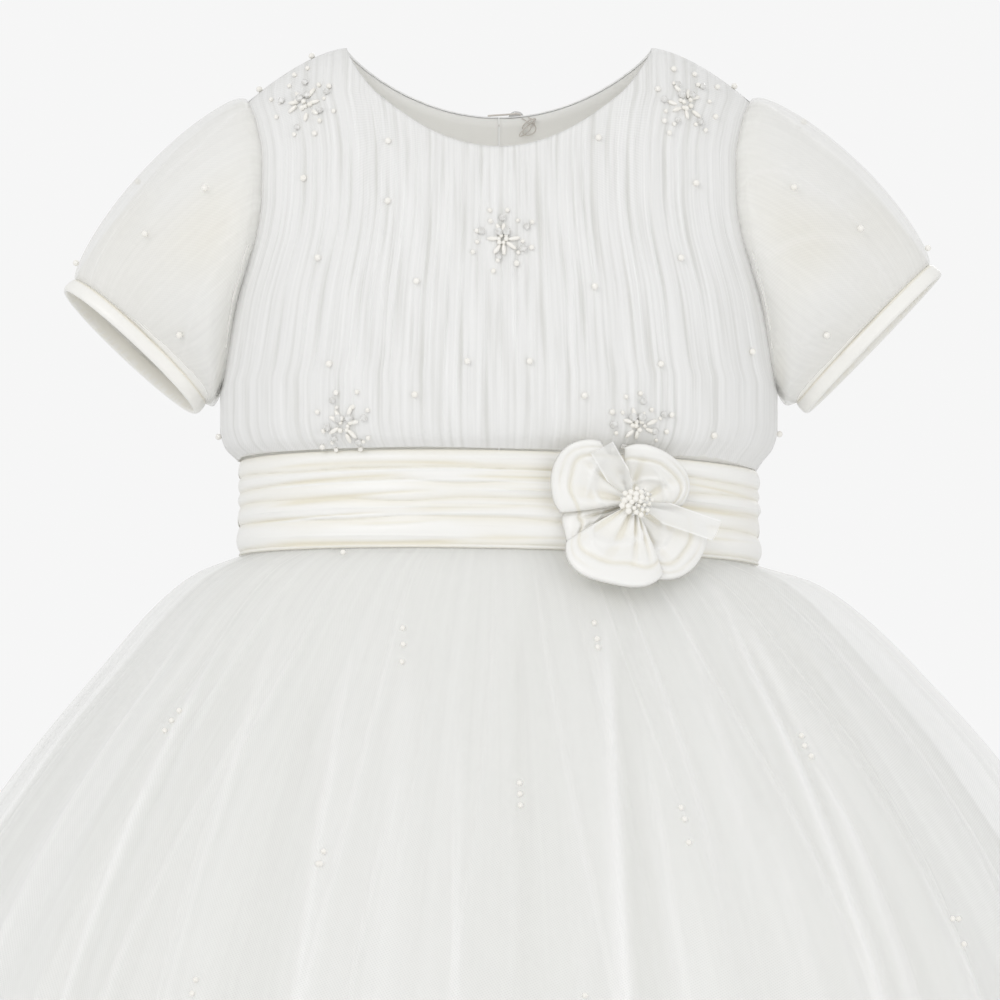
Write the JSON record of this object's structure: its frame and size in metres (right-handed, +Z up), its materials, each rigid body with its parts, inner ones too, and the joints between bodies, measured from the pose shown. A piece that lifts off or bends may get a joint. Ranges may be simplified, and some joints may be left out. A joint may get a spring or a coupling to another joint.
{
  "type": "tulle dress",
  "caption": "Child's party dress: gathered bodice, short puffed sleeves with satin cuffs, pleated sash with a rosette, and a full layered tulle skirt, held in its worn shape.",
  "frame": {"origin": "midway between the two points where the shoulder seams meet the neckline, on the shoulder seams' plane, where the wearer's shoulders hold the dress", "axes": "+Z up, the front of the dress faces -Y, +X to the wearer's left"},
  "size_m": [0.6761, 0.5362, 0.634],
  "materials": {
    "gathered_tulle": "fine tulle gathered over ivory satin",
    "skirt_tulle": "sheer fine net",
    "satin": "ivory satin with a soft sheen",
    "lining": "smooth ivory lining",
    "pearl_beads": "pearl lustre",
    "clear_bead": "clear, glossy",
    "thread": "twisted sewing thread"
  },
  "bodies": {
    "root": {"bodice_front": "gathered_tulle", "bodice_back_left": "gathered_tulle", "bodice_back_right": "gathered_tulle", "sleeve_left": "gathered_tulle", "sleeve_right": "gathered_tulle", "cuff_left": "satin", "cuff_right": "satin", "sash_front": "satin", "sash_back_left": "satin", "sash_back_right": "satin", "skirt_outer_front": "skirt_tulle", "skirt_outer_back": "skirt_tulle", "skirt_under_front": "skirt_tulle", "skirt_under_back": "skirt_tulle", "skirt_lining_front": "lining", "skirt_lining_back": "lining", "rosette_petal_side": "satin", "rosette_petal_upper_right": "satin", "rosette_petal_upper_left": "satin", "rosette_petal_lower_right": "satin", "rosette_petal_bottom": "satin", "rosette_ribbon_upper": "skirt_tulle", "rosette_ribbon_side": "skirt_tulle", "rosette_centre": "pearl_beads", "back_button": "clear_bead", "button_loop": "thread"}
  },
  "joints": []
}
